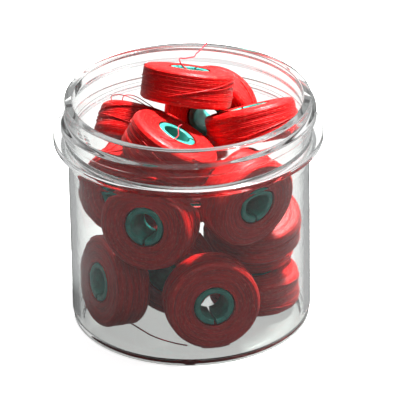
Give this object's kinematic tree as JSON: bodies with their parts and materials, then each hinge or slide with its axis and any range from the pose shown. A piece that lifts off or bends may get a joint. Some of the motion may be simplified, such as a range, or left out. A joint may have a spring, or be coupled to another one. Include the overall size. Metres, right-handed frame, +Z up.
{
  "type": "bobbin box",
  "caption": "Open clear screw-neck jar filled with sideless red thread bobbins on slit teal cores; each bobbin lifts out through the mouth.",
  "frame": {"origin": "centre of the jar's foot ring, on the surface that it stands on", "axes": "+Z up through the mouth, -Y the front that faces the viewer, +X to the viewer's right"},
  "size_m": [0.0568, 0.0568, 0.0575],
  "materials": {
    "jar_clear": "clear moulded plastic, glossy",
    "thread_red": "close-wound polyester thread",
    "core_teal": "satin"
  },
  "bodies": {
    "jar": {"jar": "jar_clear"},
    "bobbin_16": {"winding_16": "thread_red", "core_16": "core_teal", "floor_tail": "thread_red"},
    "bobbin_15": {"winding_15": "thread_red", "core_15": "core_teal"},
    "bobbin_14": {"winding_14": "thread_red", "core_14": "core_teal"},
    "bobbin_13": {"winding_13": "thread_red", "core_13": "core_teal"},
    "bobbin_12": {"winding_12": "thread_red", "core_12": "core_teal"},
    "bobbin_11": {"winding_11": "thread_red", "core_11": "core_teal"},
    "bobbin_10": {"winding_10": "thread_red", "core_10": "core_teal"},
    "bobbin_09": {"winding_09": "thread_red", "core_09": "core_teal"},
    "bobbin_08": {"winding_08": "thread_red", "core_08": "core_teal"},
    "bobbin_07": {"winding_07": "thread_red", "core_07": "core_teal"},
    "bobbin_06": {"winding_06": "thread_red", "core_06": "core_teal"},
    "bobbin_05": {"winding_05": "thread_red", "core_05": "core_teal"},
    "bobbin_04": {"winding_04": "thread_red", "core_04": "core_teal"},
    "bobbin_03": {"winding_03": "thread_red", "core_03": "core_teal"},
    "bobbin_02": {"winding_02": "thread_red", "core_02": "core_teal"},
    "bobbin_01": {"winding_01": "thread_red", "core_01": "core_teal", "rim_tail": "thread_red"}
  },
  "joints": [
    {"name": "lift_16", "type": "slide", "parent": "jar", "child": "bobbin_16", "axis": [0, 0, 1], "range_m": [0, 0.05]},
    {"name": "lift_15", "type": "slide", "parent": "bobbin_16", "child": "bobbin_15", "axis": [0, 0, 1], "range_m": [0, 0.05]},
    {"name": "lift_14", "type": "slide", "parent": "bobbin_15", "child": "bobbin_14", "axis": [0, 0, 1], "range_m": [0, 0.05]},
    {"name": "lift_13", "type": "slide", "parent": "bobbin_14", "child": "bobbin_13", "axis": [0, 0, 1], "range_m": [0, 0.05]},
    {"name": "lift_12", "type": "slide", "parent": "bobbin_13", "child": "bobbin_12", "axis": [0, 0, 1], "range_m": [0, 0.05]},
    {"name": "lift_11", "type": "slide", "parent": "bobbin_12", "child": "bobbin_11", "axis": [0, 0, 1], "range_m": [0, 0.042]},
    {"name": "lift_10", "type": "slide", "parent": "bobbin_11", "child": "bobbin_10", "axis": [0, 0, 1], "range_m": [0, 0.036]},
    {"name": "lift_09", "type": "slide", "parent": "bobbin_10", "child": "bobbin_09", "axis": [0, 0, 1], "range_m": [0, 0.034]},
    {"name": "lift_08", "type": "slide", "parent": "bobbin_09", "child": "bobbin_08", "axis": [0, 0, 1], "range_m": [0, 0.031]},
    {"name": "lift_07", "type": "slide", "parent": "bobbin_08", "child": "bobbin_07", "axis": [0, 0, 1], "range_m": [0, 0.033]},
    {"name": "lift_06", "type": "slide", "parent": "bobbin_07", "child": "bobbin_06", "axis": [0, 0, 1], "range_m": [0, 0.028]},
    {"name": "lift_05", "type": "slide", "parent": "bobbin_06", "child": "bobbin_05", "axis": [0, 0, 1], "range_m": [0, 0.023]},
    {"name": "lift_04", "type": "slide", "parent": "bobbin_05", "child": "bobbin_04", "axis": [0, 0, 1], "range_m": [0, 0.016]},
    {"name": "lift_03", "type": "slide", "parent": "bobbin_04", "child": "bobbin_03", "axis": [0, 0, 1], "range_m": [0, 0.024]},
    {"name": "lift_02", "type": "slide", "parent": "bobbin_03", "child": "bobbin_02", "axis": [0, 0, 1], "range_m": [0, 0.016]},
    {"name": "lift_01", "type": "slide", "parent": "bobbin_02", "child": "bobbin_01", "axis": [0, 0, 1], "range_m": [0, 0.008]}
  ]
}
